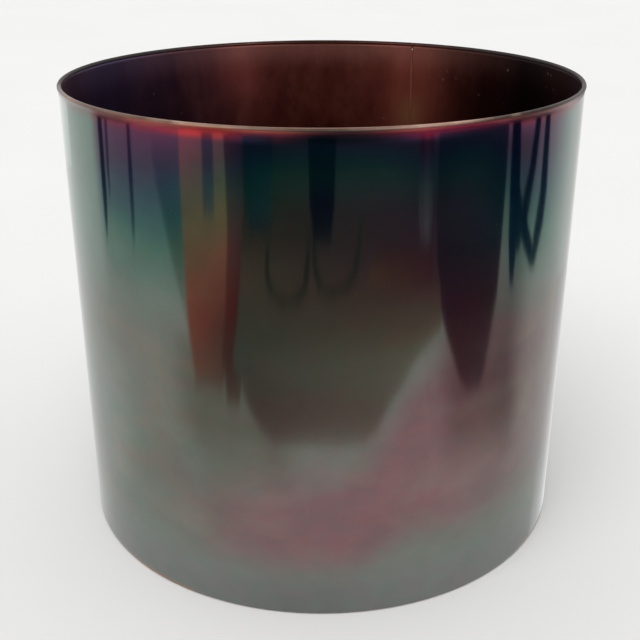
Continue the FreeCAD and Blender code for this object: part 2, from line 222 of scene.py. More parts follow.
def build_wall():
    segments = 900
    az = SEAM + SLIT / 2 + (2 * math.pi - SLIT) * np.arange(segments + 1) / segments
    half = len(WALL_OUTER)
    count = 2 * half
    section = np.vstack([WALL_OUTER, WALL_INNER[::-1]])
    A = az[:, None] + np.zeros((1, count))
    z = section[:, 1][None, :] + np.zeros((segments + 1, 1))
    radius = section[:, 0][None, :] + sheet_wave(A, z)
    # the height of the lip wanders by a few hundredths
    lift = 0.010 * MM * (np.cos(5 * A + 1.0) + 0.7 * np.cos(11 * A + 2.0)
                         + 0.5 * np.cos(23 * A))
    z = z + lift * np.clip((z - Z_FLARE) / (Z_TOP - Z_FLARE), 0, 1)
    z = np.minimum(z, Z_TOP + 0.12 * MM)
    verts = np.stack([radius * np.cos(A), radius * np.sin(A), z], -1).reshape(-1, 3)

    index = np.arange((segments + 1) * count).reshape(segments + 1, count)
    faces = []
    for j in range(count):
        k = (j + 1) % count
        strip = np.stack([index[:-1, j], index[1:, j], index[1:, k], index[:-1, k]], -1)
        faces += strip.tolist()
    caps = []
    first, last = index[0].tolist(), index[-1].tolist()
    for i in range(half - 1):
        j = count - 1 - i                               # the inside point across from i
        caps.append((first[i], first[i + 1], first[j - 1], first[j]))
        caps.append((last[i], last[j], last[j - 1], last[i + 1]))
    ob = make_mesh("wall_sheet_rolled", verts, faces + caps)

    # mark: 0 on the straight outside, up to 1 at the raw edge of the lip, 2 inside
    mark = np.zeros(count)
    mark[STRAIGHT_POINTS:half] = 0.02 + 0.98 * np.linspace(0, 1, half - STRAIGHT_POINTS)
    mark[half:] = 2.0
    mesh = ob.data
    layer = mesh.attributes.new("mark", "FLOAT", "POINT")
    layer.data.foreach_set("value", np.tile(mark, segments + 1).astype(np.float32))
    # the faces of the slit stay sharp
    smooth = np.ones(len(mesh.polygons), bool)
    smooth[-len(caps):] = False
    mesh.polygons.foreach_set("use_smooth", smooth)
    return ob


# ---------------------------------------------------------------------------
# seam
# ---------------------------------------------------------------------------
def build_seam_bead():
    """Filler in the butt joint: a faint ridge outside, and inside a low bead that
    wanders in width."""
    rng = np.random.RandomState(5)
    z_end = Z_FLARE - 1.0 * MM
    heights = []
    z = Z_LOW
    while z < z_end:
        heights.append(z)
        z += 0.9 * MM
    heights = np.array(heights + [z_end])
    count = len(heights)

    def smooth_noise(spacing, size):
        knots = max(2, int(count / spacing))
        values = rng.uniform(-1, 1, knots + 3)
        x = np.linspace(0, knots, count)
        i = np.floor(x).astype(int)
        f = x - i
        f = f * f * (3 - 2 * f)
        return size * (values[i] * (1 - f) + values[i + 1] * f)

    half = 1.15 * MM + smooth_noise(5, 0.28 * MM) + smooth_noise(2.2, 0.12 * MM)
    crown = 0.34 * MM + smooth_noise(4, 0.07 * MM) + smooth_noise(1.5, 0.05 * MM)
    drift = smooth_noise(14, 0.25 * MM)
    # the bead thins out above the solder and below the lip
    low = np.clip((heights - (ring_high.z + 0.3 * MM)) / (3 * MM), 0, 1)
    high = np.clip((Z_TOP - 9 * MM - heights) / (16 * MM), 0, 1)
    full = np.minimum(low, high)
    thin_half, thin_crown = 0.24 * MM, 0.02 * MM
    half = thin_half + (half - thin_half) * full
    crown = thin_crown + (crown - thin_crown) * full
    drift = drift * full
    proud = 0.010 * MM + np.abs(smooth_noise(3, 0.02 * MM))

    half_slit = SLIT / 2 * R_OUT * SEAM_FILL
    bead_points = 11
    verts = []
    for i, z in enumerate(heights):
        wave = sheet_wave(SEAM, z)
        inner, outer = R_IN + wave, R_OUT + wave
        # section points are (radius, distance across the seam)
        section = [(outer + proud[i] * (1 - t * t), t * half_slit)
                   for t in (-1.0, -0.6, 0.0, 0.6, 1.0)]
        section.append((inner + 0.002 * MM, half_slit))
        for k in range(bead_points):
            t = 1 - 2 * k / (bead_points - 1)
            y = drift[i] + t * half[i]
            wall = math.sqrt(max(inner * inner - y * y, 0))
            section.append((wall - 0.004 * MM - crown[i] * (1 - t * t) ** 0.8, y))
        section.append((inner + 0.002 * MM, -half_slit))
        for radius, y in section:
            a = SEAM + y / R_IN
            if abs(y) > half_slit * 1.001:
                a = SEAM + math.asin(y / R_IN)
            verts.append(around(radius, a, z))
    size = len(section)
    rings = [range(i * size, (i + 1) * size) for i in range(count)]
    faces = bridge(rings) + [tuple(rings[0]), tuple(rings[-1])[::-1]]
    return make_mesh("seam_braze_bead", verts, faces)


def build_seam_lip():
    """The braze where the joint runs round the flare and the lip."""
    start = STRAIGHT_POINTS - 1
    outer, inner = WALL_OUTER[start:], WALL_INNER[start:]
    half = len(outer)
    ring_size = 2 * half
    columns = (-1.0, -0.5, 0.0, 0.5, 1.0)
    verts = []
    for across in columns:
        a = SEAM + SLIT / 2 * SEAM_FILL * across
        ridge = 0.012 * MM * (1 - across * across)      # on the outside only
        for points, proud in ((outer, ridge), (inner, 0.0)):
            for k, (radius, z) in enumerate(points):
                nearer = min(k, half - 2)
                along = points[nearer + 1] - points[nearer]
                along = along / (np.linalg.norm(along) + 1e-12)
                out = radius + sheet_wave(a, z) + along[1] * proud
                verts.append(around(out, a, z - along[0] * proud))
    order = list(range(half)) + list(range(ring_size - 1, half - 1, -1))
    faces = bridge([[c * ring_size + i for i in order] for c in range(len(columns))])
    last = (len(columns) - 1) * ring_size
    for i in range(half - 1):
        faces.append((i, i + 1, half + i + 1, half + i))
        faces.append((last + i, last + half + i, last + half + i + 1, last + i + 1))
    return make_mesh("seam_braze_lip", verts, faces)


# ---------------------------------------------------------------------------
# base and foot pads
# ---------------------------------------------------------------------------
def build_pan():
    """Base pan: a gently dished disc with a turned-down flange."""
    def dish(r):
        edge_fade = 1 - math.exp(-(BEND_R - r) / (9 * MM))
        return -0.55 * MM * (1 - (r / BEND_R) ** 2) * edge_fade

    disc_steps, bend_steps, flange_steps = 70, 12, 4
    top, under = [], []
    for i in range(disc_steps + 1):
        r = BEND_R * i / disc_steps
        top.append((r, Z_PAN + dish(r)))
        under.append((r, Z_PAN - PAN_GAUGE + dish(r)))
    for i in range(1, bend_steps + 1):
        a = math.pi / 2 * i / bend_steps
        for points, radius in ((top, PAN_BEND), (under, PAN_BEND - PAN_GAUGE)):
            points.append((BEND_R + radius * math.sin(a), BEND_Z + radius * math.cos(a)))
    edge = 0.15 * MM
    for i in range(1, flange_steps + 1):
        z = BEND_Z + (Z_LOW + edge - BEND_Z) * i / flange_steps
        top.append((R_PAN, z))
        under.append((R_PAN - PAN_GAUGE, z))
    top.append((R_PAN - edge, Z_LOW))
    under.append((R_PAN - PAN_GAUGE + edge, Z_LOW))

    def wobble(a, r):
        if r > BEND_R - 1e-6:
            return 0, 0
        fade = 1 - (r / R_PAN) ** 8
        up = 0.10 * MM * math.sin(3 * a + 1.1) * (r / R_PAN) ** 2 * fade
        return 0, up + 0.05 * MM * math.sin(5 * a + r * 90) * fade

    return revolve("base_pan_pressed", top + under[::-1], 360, wobble)


def build_solder():
    """Solder fillet round the foot of the wall: puddled, rippled, a little lumpy."""
    rng = np.random.RandomState(17)
    phase = rng.uniform(0, 2 * math.pi, 24)
    size = rng.uniform(0.3, 1.0, 24)

    def wave(a, first, turns, step):
        """Mean of eight waves, from number `first`; wave k goes turns + step * k round."""
        return sum(size[k] * math.cos((turns + step * k) * a + phase[k])
                   for k in range(first, first + 8)) / 8

    segments, face_steps, bend_steps = 900, 12, 5
    gap = 0.015 * MM
    bend_start, bend_end = 38, 88                       # degrees round the pan's bend
    verts, rings = [], []
    for i in range(segments):
        a = 2 * math.pi * i / segments
        slow, middle, quick = wave(a, 0, 3, 1), wave(a, 8, 17, 5), wave(a, 16, 60, 17)
        rise = (3.2 + 0.9 * slow + 0.5 * middle) * MM
        spread = (4.6 + 1.6 * slow + 0.9 * middle + 0.25 * quick) * MM
        wall_r = R_IN - gap + sheet_wave(a, Z_PAN)
        toe_r, toe_z = R_PAN - spread, Z_PAN + 0.01 * MM
        section = []
        for k in range(face_steps + 1):                 # concave face, toe to wall
            t = k / face_steps
            bow = math.sin(math.pi * t)
            sag = 0.75 * MM * bow * (1 + 0.2 * quick) * 0.45
            ripple = 0.03 * MM * bow * math.sin(40 * t + 60 * a)
            z = toe_z + (Z_PAN + rise - toe_z) * t ** 1.35 - sag + ripple
            z = max(z, toe_z + 0.02 * MM * (t > 0))
            section.append((toe_r + (wall_r - toe_r) * t, z))
        section.append((wall_r, Z_PAN - 1.25 * MM))
        for k in range(1, bend_steps + 1):              # along the bend of the pan
            b = math.radians(bend_start + (bend_end - bend_start) * k / bend_steps)
            section.append(on_arc((BEND_R, BEND_Z), PAN_BEND + gap, b))
        rings.append(range(len(verts), len(verts) + len(section)))
        verts += [around(r, a, z) for r, z in section]
    return make_mesh("base_solder_fillet", verts, bridge(rings + rings[:1]))


# underside of a pad, from the rounded edge inwards: (radius, height) in mm,
# a shallow ring groove and then a cupped middle
PAD_SOLE = [
    (6.6, 0.0), (6.45, 0.05), (6.3, 0.25), (6.0, 0.3), (5.7, 0.25), (5.55, 0.05), (5.4, 0.0),
    (2.75, 0.0), (2.5, 0.06), (2.4, 0.3), (2.36, 1.3), (2.1, 1.55), (1.7, 1.6), (0, 1.6)]


def build_pad(node, seed):
    """Rubber bumper: tapered side, rounded sole, a small lip at the top."""
    low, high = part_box(node)
    top = high.z
    pad_r = (high.x - low.x) / 2
    # (inset from the pad's radius, drop from its top) in mm
    profile = [(0, top)] + [(pad_r - inset * MM, top - drop * MM) for inset, drop in (
        (0.4, 0), (0.1, 0.06), (0, 0.25), (0.02, 0.5), (0.22, 0.62))]
    side_r, side_z = profile[-1]
    sole_r, edge = 9.0 * MM, 1.2 * MM
    side_steps, edge_steps = 5, 8
    for k in range(1, side_steps + 1):
        t = k / side_steps
        profile.append((side_r + (sole_r - side_r) * t, side_z + (edge - side_z) * t))
    for k in range(1, edge_steps + 1):
        a = math.pi / 2 * k / edge_steps
        profile.append((sole_r - edge + edge * math.cos(a), edge - edge * math.sin(a)))
    profile += [(r * MM, z * MM) for r, z in PAD_SOLE]
    phase = np.random.RandomState(seed).uniform(0, 6.28, 4)

    def wobble(a, r):
        if r <= 8 * MM:
            return 0, 0
        return 0.03 * MM * math.cos(3 * a + phase[0]) + 0.015 * MM * math.cos(9 * a + phase[1]), 0

    ob = revolve(node.replace("foot_pad", "bumper"), profile, 96, wobble)
    ob.data.transform(Matrix.Translation(((low.x + high.x) / 2, (low.y + high.y) / 2, 0)))
    return ob


PAD_NODES = ("foot_pad_back_right", "foot_pad_back_left",
             "foot_pad_front_left", "foot_pad_front_right")
wall = build_wall()
bead = build_seam_bead()
seam_lip = build_seam_lip()
pan = build_pan()
solder = build_solder()
pads = [build_pad(node, seed=40 + k) for k, node in enumerate(PAD_NODES)]


# ---------------------------------------------------------------------------
# shader helpers
# ---------------------------------------------------------------------------
class Value:
    """A node output; each arithmetic operator on it adds one Math node."""

    def __init__(self, graph, socket):
        self.graph = graph
        self.socket = socket

    def __add__(self, other):
        return self.graph.math("ADD", self, other)

    def __radd__(self, other):
        return self.graph.math("ADD", other, self)

    def __sub__(self, other):
        return self.graph.math("SUBTRACT", self, other)

    def __rsub__(self, other):
        return self.graph.math("SUBTRACT", other, self)

    def __mul__(self, other):
        return self.graph.math("MULTIPLY", self, other)

    def __rmul__(self, other):
        return self.graph.math("MULTIPLY", other, self)

    def __truediv__(self, other):
        return self.graph.math("DIVIDE", self, other)


class Graph:
    """The node tree of a material or world, with a short call for each kind of node."""

    def __init__(self, owner, output="ShaderNodeOutputMaterial"):
        owner.use_nodes = True
        self.owner = owner
        self.tree = owner.node_tree
        self.tree.nodes.clear()
        self.surface = self.node(output).inputs["Surface"]

    def node(self, kind, **props):
        node = self.tree.nodes.new(kind)
        for name, value in props.items():
            setattr(node, name, value)
        return node

    def put(self, socket, value):
        """Link a Value, or set a constant; one number makes a grey."""
        if isinstance(value, Value):
            self.tree.links.new(value.socket, socket)
            return
        if socket.type == "RGBA":
            value = (value,) * 3 if isinstance(value, (int, float)) else value
            value = (*value, 1.0)
        socket.default_value = value

    def fill(self, node, **inputs):
        for name, value in inputs.items():
            self.put(node.inputs[name.replace("_", " ")], value)

    def out(self, node, name=0):
        return Value(self, node.outputs[name])

    def math(self, operation, *values):
        node = self.node("ShaderNodeMath", operation=operation)
        for socket, value in zip(node.inputs, values):
            self.put(socket, value)
        return self.out(node)

    def larger(self, a, b):
        return self.math("MAXIMUM", a, b)

    def smaller(self, a, b):
        return self.math("MINIMUM", a, b)

    def position(self, space="Object"):
        return self.out(self.node("ShaderNodeTexCoord"), space)

    def separate(self, vector):
        node = self.node("ShaderNodeSeparateXYZ")
        self.put(node.inputs[0], vector)
        return [self.out(node, i) for i in range(3)]

    def combine(self, x, y, z):
        node = self.node("ShaderNodeCombineXYZ")
        self.fill(node, X=x, Y=y, Z=z)
        return self.out(node)

    def azimuth(self, x, y):
        """Degrees round the pot: 0 at the front, positive towards +X."""
        return self.math("ARCTAN2", x, y * -1.0) * (180 / math.pi)

    def stretched(self, vector, factors):
        if factors is None:
            return vector
        node = self.node("ShaderNodeVectorMath", operation="MULTIPLY")
        self.put(node.inputs[0], vector)
        self.put(node.inputs[1], factors)
        return self.out(node)

    def noise(self, vector, scale, detail, rough, seed, distort=0.0, stretch=None):
        node = self.node("ShaderNodeTexNoise", noise_dimensions="4D")
        self.fill(node, Vector=self.stretched(vector, stretch), W=seed, Scale=scale,
                  Detail=detail, Roughness=rough, Distortion=distort)
        return self.out(node, "Fac")

    def cells(self, vector, scale, stretch=None):
        """Distance to the nearest of a scatter of points."""
        node = self.node("ShaderNodeTexVoronoi")
        self.fill(node, Vector=self.stretched(vector, stretch), Scale=scale)
        return self.out(node, "Distance")

    def step(self, value, start, end, low=0.0, high=1.0, smooth=True):
        """Goes from low to high as value goes from start to end, and holds beyond."""
        node = self.node("ShaderNodeMapRange", clamp=True,
                         interpolation_type="SMOOTHSTEP" if smooth else "LINEAR")
        self.fill(node, Value=value, From_Min=start, From_Max=end, To_Min=low, To_Max=high)
        return self.out(node, "Result")

    def window(self, value, one_side, other_side):
        """1 between two steps, each given as (where 0, where 1)."""
        return self.step(value, *one_side) * self.step(value, *other_side)

    def ramp(self, factor, stops):
        """stops: (position, colour)."""
        node = self.node("ShaderNodeValToRGB")
        elements = node.color_ramp.elements
        while len(elements) < len(stops):
            elements.new(0.5)
        for element, (position, colour) in zip(elements, stops):
            element.position = position
            element.color = (*colour, 1.0)
        self.put(node.inputs[0], factor)
        return self.out(node)

    def mix(self, factor, a, b, mode="MIX"):
        node = self.node("ShaderNodeMix", data_type="RGBA", blend_type=mode)
        for i, value in ((0, factor), (6, a), (7, b)):
            self.put(node.inputs[i], value)
        return self.out(node, 2)

    def multiply(self, a, b):
        return self.mix(1.0, a, b, "MULTIPLY")

    def bump(self, height_mm):
        node = self.node("ShaderNodeBump")
        self.fill(node, Strength=1.0, Distance=MM, Height=height_mm)
        return self.out(node)

    def principled(self, **inputs):
        """Finish the material with a Principled surface and return it."""
        node = self.node("ShaderNodeBsdfPrincipled")
        self.fill(node, **inputs)
        self.put(self.surface, self.out(node))
        return self.owner


def new_graph(name):
    return Graph(bpy.data.materials.new(name))


def srgb(*levels):
    """Linear colour from sRGB levels of 0 to 255."""
    def linear(level):
        c = level / 255.0
        return c / 12.92 if c <= 0.04045 else ((c + 0.055) / 1.055) ** 2.4
    return tuple(linear(level) for level in levels)


# ---------------------------------------------------------------------------
# wall material: heat-coloured outside, worn lip, brown inside, with painted light, shade and
# reflections
# ---------------------------------------------------------------------------
class WallGraph(Graph):
    """Adds the wall's own measures: depth in mm below the lip, azimuth in degrees
    (0 front, + towards +X) and the mark across the section."""

    def __init__(self, name):
        super().__init__(bpy.data.materials.new(name))
        self.pos = self.position()
        x, y, z = self.separate(self.pos)
        self.mark = self.out(self.node("ShaderNodeAttribute", attribute_name="mark"), "Fac")
        self.depth = (Z_TOP - z) * 1000.0
        self.az = self.azimuth(x, y)

    def lobe(self, centre, width):
        """Bell curve round the pot; centre and width in degrees."""
        turn = self.math("RADIANS", self.az) - math.radians(centre)
        sharpness = 1.0 / (math.radians(width) ** 2)
        return self.math("EXPONENT", (self.math("COSINE", turn) - 1.0) * sharpness)

    def hump(self, value, centre, width):
        """Bell curve of any value."""
        d = (value - centre) / width
        return self.math("EXPONENT", (d * d) * -0.5)


# where the oxide is thicker: (azimuth, width, added share)
FILM_LOBES = [(-2, 11, 1.8), (12, 4.5, 0.9), (28, 6, 1.2), (132, 20, 1.2), (-118, 24, 0.9)]
FILM_RANGE = 170                        # film thickness at the end of the ramp
# heat colours: (film thickness, sRGB levels); an even film is as thick as its depth in mm
FILM_COLOURS = [
    (0.0, (138, 84, 68)), (2.0, (130, 70, 64)), (3.5, (122, 58, 64)), (5.5, (112, 50, 71)),
    (8.0, (90, 54, 76)), (12.0, (80, 54, 77)), (17.0, (72, 55, 74)), (24.0, (64, 57, 73)),
    (31.0, (58, 66, 79)), (40.0, (56, 78, 84)), (50.0, (60, 90, 87)), (63.0, (74, 105, 94)),
    (79.0, (88, 112, 101)), (98.0, (106, 117, 108)), (125.0, (113, 117, 109)),
    (165.0, (110, 117, 109))]
# painted highlight: brightness of the lip round the front, where it mirrors light from the room:
# (azimuth, factor)
LIP_HIGHLIGHT_GAIN = [
    (-79, .10), (-74, .25), (-68, .9), (-60, .9), (-50, .58), (-42, .80), (-34, .82),
    (-31, 1.25), (-27, 1.5), (-23, 1.1), (-16, 1.0), (-12, .62), (-6, 1.0), (6, 1.0),
    (12, .88), (18, 1.38), (26, 1.50), (34, 1.40), (42, .50), (50, .45), (62, .46),
    (68, .32), (74, .14), (79, .08)]
LIP_HIGHLIGHT_REACH = 80                     # degrees each side of the front
LIP_HIGHLIGHT_MAX = 1.6                      # factor that full white in the ramp stands for
# fine colour variation outside: (noise settings, colour at 0, colour at 1)
MOTTLING = [
    (dict(scale=60.0, detail=4, rough=0.65, distort=0.3, seed=41.0, stretch=(1, 1, 1.4)),
     (0.87, 0.89, 0.87), (1.13, 1.11, 1.13)),
    (dict(scale=95.0, detail=4, rough=0.7, distort=0.4, seed=63.0, stretch=(1, 1, 1.3)),
     (1.15, 0.90, 0.98), (0.87, 1.09, 1.02)),
    (dict(scale=44.0, detail=3, rough=0.6, distort=0.5, seed=52.0, stretch=(1, 1, 1.9)),
     (1.08, 0.95, 0.99), (0.93, 1.05, 1.01))]
# painted shade: darker sectors of the inside, navy on the left and near black on the right:
# (azimuth, width, strength, colour)
INSIDE_PAINTED_SHADE = [(-110, 24, 0.9, (0.065, 0.062, 0.155)), (88, 14, 0.8, (0.035, 0.025, 0.050)),
                  (115, 24, 0.98, (0.008, 0.003, 0.004))]


def film_colour(t):
    """Oxide film: thin at the rim, thicker below and in the middle of the front, with a painted
    dark reflection just under the lip in the middle.
    """
    az, depth, lobe = t.az, t.depth, t.lobe
    slow = t.noise(t.pos, 9.0, detail=2, rough=0.5, distort=0.2, seed=3.1, stretch=(1, 1, 0.6))
    mid = t.noise(t.pos, 28.0, detail=3, rough=0.55, distort=0.6, seed=7.7, stretch=(1, 1, 0.8))
    fine = t.noise(t.pos, 110.0, detail=3, rough=0.6, seed=1.3, stretch=(1, 1, 2.2))
    gain = 1.0
    for centre, width, extra in FILM_LOBES:
        gain = gain + lobe(centre, width) * extra
    gain = gain + (slow - 0.5) * 0.5
    film = depth * (1.0 + (gain - 1.0) * t.step(depth, 2.5, 7.0))
    film = film + ((mid - 0.5) * 26.0) * t.step(depth, 4, 50, 0.12, 1)
    film = film + (fine - 0.5) * 3.0
    scale = 1 / FILM_RANGE
    tint = t.ramp(film * scale, [(at * scale, srgb(*levels)) for at, levels in FILM_COLOURS])

    # red flush close under the lip, strongest left and right of the middle
    flush = lobe(-22, 6.5) * 0.85 + lobe(24, 8.0)
    flush = flush + lobe(-7, 2.6) * 0.7
    flush = flush + lobe(160, 25) * 0.8
    flush_depth = (t.step(az, -10, 12, 4.9, 3.3) + lobe(17.5, 4) * 1.5) + (mid - 0.5) * 3.0
    flush = t.smaller(flush, 1.0) * t.hump(depth, flush_depth, 1.4)
    red = t.mix(t.step(az, -12, 12), srgb(160, 56, 68), srgb(164, 56, 80))
    tint = t.mix(flush, tint, red)
    # painted reflection: the tint is darkened just under the lip at the front middle, where the
    # flare mirrors a dark shape
    dark = lobe(4, 6.5) * t.step(depth, 9.0, 6.0)
    return t.mix(dark * 0.85, tint, srgb(46, 42, 48))


def flare_painted_light(t, tint):
    """Painted light on the flare: it is drawn a touch brighter than the wall below it, and painted
    darker to each side.
    """
    az, depth, lobe = t.az, t.depth, t.lobe
    glow = t.step(depth, 5.2, 3.2) * (0.20 + (lobe(22, 8) * 0.9 + lobe(-7, 3) * 1.1))
    # painted shade: the flare is dimmed to each side
    aside = t.step(depth, 6.0, 3.6) * t.larger(t.window(az, (34, 40), (58, 52)),
                                               t.window(az, (-36, -41), (-52, -46)))
    glow = glow + lobe(19, 5) * (t.step(depth, 9.0, 5.5) * t.step(depth, 3.0, 5.0, 0.1, 0.9))
    glow = glow + lobe(-12.5, 2.6) * t.step(depth, 9.0, 5.5, 0, 1.2)
    glow = (1.0 + glow) - aside * 0.62
    return t.multiply(tint, t.combine(glow, glow, glow))


def sides_painted_reflection(t, tint):
    """Painted reflection: the upper colours fade out to a plain grey-green towards the sides,
    standing in for the paler reflection at grazing angles.
    """
    az, depth = t.az, t.depth
    front = t.window(az, (-51.5, -46.8), (64.0, 47.0))
    back = t.larger(t.step(az, 96.0, 120.0), t.step(az, -92.0, -112.0))
    coloured = t.larger(front, back)
    plain = t.mix(t.step(depth, 60, 130), srgb(108, 128, 120), srgb(118, 122, 113))
    near_rim = t.mix(t.step(az, 30, 60), srgb(118, 112, 106), srgb(128, 100, 98))
    plain = t.mix(t.step(depth, 9.0, 2.5), plain, near_rim)
    return t.mix(t.step(depth, 120, 80) * (1.0 - coloured), tint, plain)


def lower_patches(t, tint):
    """Lower wall: pale rose, beige and green-grey patches of thick oxide, a foot lightened with
    painted light and a painted shade on the right.
    """
    az, depth, lobe = t.az, t.depth, t.lobe
    low = t.noise(t.pos, 11.0, detail=3, rough=0.5, distort=0.8, seed=12.4, stretch=(1, 1, 1.3))
    blot = t.noise(t.pos, 26.0, detail=3, rough=0.6, distort=0.5, seed=18.4, stretch=(1, 1, 1.6))
    # the depth where the rose begins and the range where it ends depend on the azimuth
    begin = (t.step(az, 2, 30, 172, 98) + t.step(az, -26, -4, 14, 0)) + (low - 0.5) * 60.0
    rise = t.step(depth - begin, -14, 34)
    fall = t.step(depth, t.step(az, 4, 20, 258, 244), t.step(az, 4, 20, 226, 206))
    rose_mask = lobe(8, 37) * (rise * fall)
    rose_mask = rose_mask + t.step(low, 0.58, 0.72) * (t.step(depth, 95, 150) * 0.45)
    rose_mask = t.smaller(rose_mask * t.step(blot, 0.25, 0.6, 0.75, 1.12), 1.0)
    rose = t.mix(t.step(blot, 0.35, 0.62), srgb(123, 91, 94), srgb(114, 93, 95))
    tint = t.mix(rose_mask, tint, rose)
    beige = t.step(low, 0.47, 0.36) * (t.step(depth, 90, 130) * 0.6)
    beige = beige * (1.0 - lobe(13, 22))
    tint = t.mix(beige, tint, srgb(125, 119, 107))
    green = lobe(-42, 12) * t.step(depth, 150, 185)
    green = green * t.step(blot, 0.3, 0.55, 0.3, 1.0)
    tint = t.mix(green * 0.75, tint, srgb(108, 121, 112))
    # painted light: the foot of the wall is paled, lifting the reflection of the floor close to the
    # pot
    foot = t.step(depth, 236, 262) * 0.8
    tint = t.mix(foot, tint, t.mix(lobe(-4, 12), srgb(112, 115, 114), srgb(102, 105, 103)))
    # painted shade: a darker lobe on the right, where the wall mirrors shade on the floor
    shade = (lobe(41, 4.6) * t.hump(depth, 138, 40)) * 0.35
    return t.mix(shade, tint, srgb(74, 64, 64))


def wall_painted_light(t, tint):
    """Painted light and shade: broad lighter and darker areas, mostly low on the wall."""
    az, depth = t.az, t.depth
    leftward = t.step(az, -12, -22)
    # painted light: the lower wall is lifted, to make up for the shadowed floor it mirrors close to
    # the pot
    lift = t.step(depth, 130, 205) * (1.0 - leftward) + t.step(depth, 192, 240) * leftward
    lift = (1.0 + lift * 0.22) * t.step(depth, 205, 268, 1.0, 1.08)
    # painted shade: a faint slanting darker band on the left, a reflected shadow
    off_band = depth - (160.0 + (-24.0 - az) * 2.5)
    band = t.hump(off_band, 0.0, 13.0) * t.window(az, (-17, -25), (-66, -54))
    lift = lift * (1.0 - band * 0.05)
    # painted shade: the upper wall is darkened on the right side
    right_side = t.step(az, 60, 70) * (t.step(az, 104, 88) * t.step(depth, 165, 110))
    lift = lift * (1.0 - right_side * 0.62)
    # painted highlight: a lighter strip low on the left edge
    left_edge = t.lobe(-51, 5) * t.window(depth, (120, 150), (232, 205))
    lift = lift * (1.0 + left_edge * 0.22)
    return t.multiply(tint, t.combine(lift, lift, lift * 1.01))


def inside_colour(t):
    """Dull brown copper, blotched, with painted light and shade: bright streaks, a lit band under
    the lip and darker sectors.  Also returns the masks it is made of.
    """
    depth, lobe = t.depth, t.lobe
    stain = t.noise(t.pos, 34.0, detail=5, rough=0.62, distort=0.5, seed=21.0,
                    stretch=(1, 1, 0.35))
    blotch = t.noise(t.pos, 16.0, detail=4, rough=0.6, distort=1.2, seed=5.5)
    inner = t.ramp(stain, [(0.28, (0.15, 0.038, 0.027)), (0.5, (0.28, 0.074, 0.053)),
                           (0.70, (0.42, 0.135, 0.098))])
    inner = t.mix(t.step(blotch, 0.5, 0.72, 0, 0.55), inner, (0.14, 0.040, 0.040))
    scuff = t.noise(t.pos, 120.0, detail=4, rough=0.7, distort=0.3, seed=27.0,
                    stretch=(1, 1, 0.7))
    inner = t.multiply(inner, t.mix(scuff, (0.55, 0.55, 0.55), (1.42, 1.40, 1.38)))
    # painted reflection: two bright upright streaks towards the back of the inside, where it
    # mirrors light
    painted_streak = t.larger(lobe(-156, 6) * t.step(depth, 60, 20, 0.15, 0.7), lobe(153, 8) * 0.85)
    inner = t.mix(painted_streak * 0.75, inner, (0.60, 0.13, 0.09))
    # painted highlight: a lighter band under the lip, where the inside is lit from above
    painted_light_under_lip = t.step(depth, 24, 3) * t.step(stain, 0.2, 0.8, 0.8, 1.1)
    inner = t.mix(painted_light_under_lip * 0.5, inner, (0.50, 0.22, 0.18))
    beside_seam = lobe(90 + SEAM_DEGREES, 2.6) * t.step(depth, 30, 52, 0, 0.6)
    inner = t.mix(beside_seam, inner, (0.55, 0.30, 0.12))
    for centre, width, strength, colour in INSIDE_PAINTED_SHADE:
        inner = t.mix(lobe(centre, width) * strength, inner, colour)
    dots = t.cells(t.pos, 170.0, stretch=(1, 1, 0.9))
    patches = t.noise(t.pos, 34.0, detail=2, rough=0.5, seed=9.0)
    speck = t.step(dots, 0.20, 0.08) * t.step(patches, 0.54, 0.62)
    return t.mix(speck * 0.5, inner, (0.46, 0.30, 0.25)), stain, painted_streak, painted_light_under_lip


def lip_colour(t, lip_noise):
    """Bare copper where the lip is rubbed, brown tarnish elsewhere, with a painted highlight round
    the front and painted shade at the back.
    """
    az = t.az
    bare = t.ramp(lip_noise, [(0.3, (0.40, 0.235, 0.175)), (0.5, (0.54, 0.34, 0.265)),
                              (0.7, (0.66, 0.46, 0.37))])
    tarnish = t.ramp(lip_noise, [(0.3, (0.075, 0.046, 0.036)), (0.7, (0.13, 0.082, 0.064))])
    worn = t.larger(t.window(az, (-30, -24), (33, 24)),
                    t.step(az, -78, -58) * t.step(az, -24, -30, 0, 0.45))
    worn = t.larger(worn, t.step(lip_noise, 0.52, 0.66) * 0.3)
    colour = t.mix(worn, tarnish, bare)
    reach, peak = LIP_HIGHLIGHT_REACH, LIP_HIGHLIGHT_MAX
    gain = t.ramp(t.step(az, -reach, reach, smooth=False),
                  [((a + reach) / (2 * reach), (v / peak,) * 3) for a, v in LIP_HIGHLIGHT_GAIN])
    # painted shade: the lip at the back is held at half brightness
    gain = t.mix(t.window(az, (150, 100), (-150, -100)), 0.5, t.multiply(gain, peak))
    return t.multiply(colour, gain)


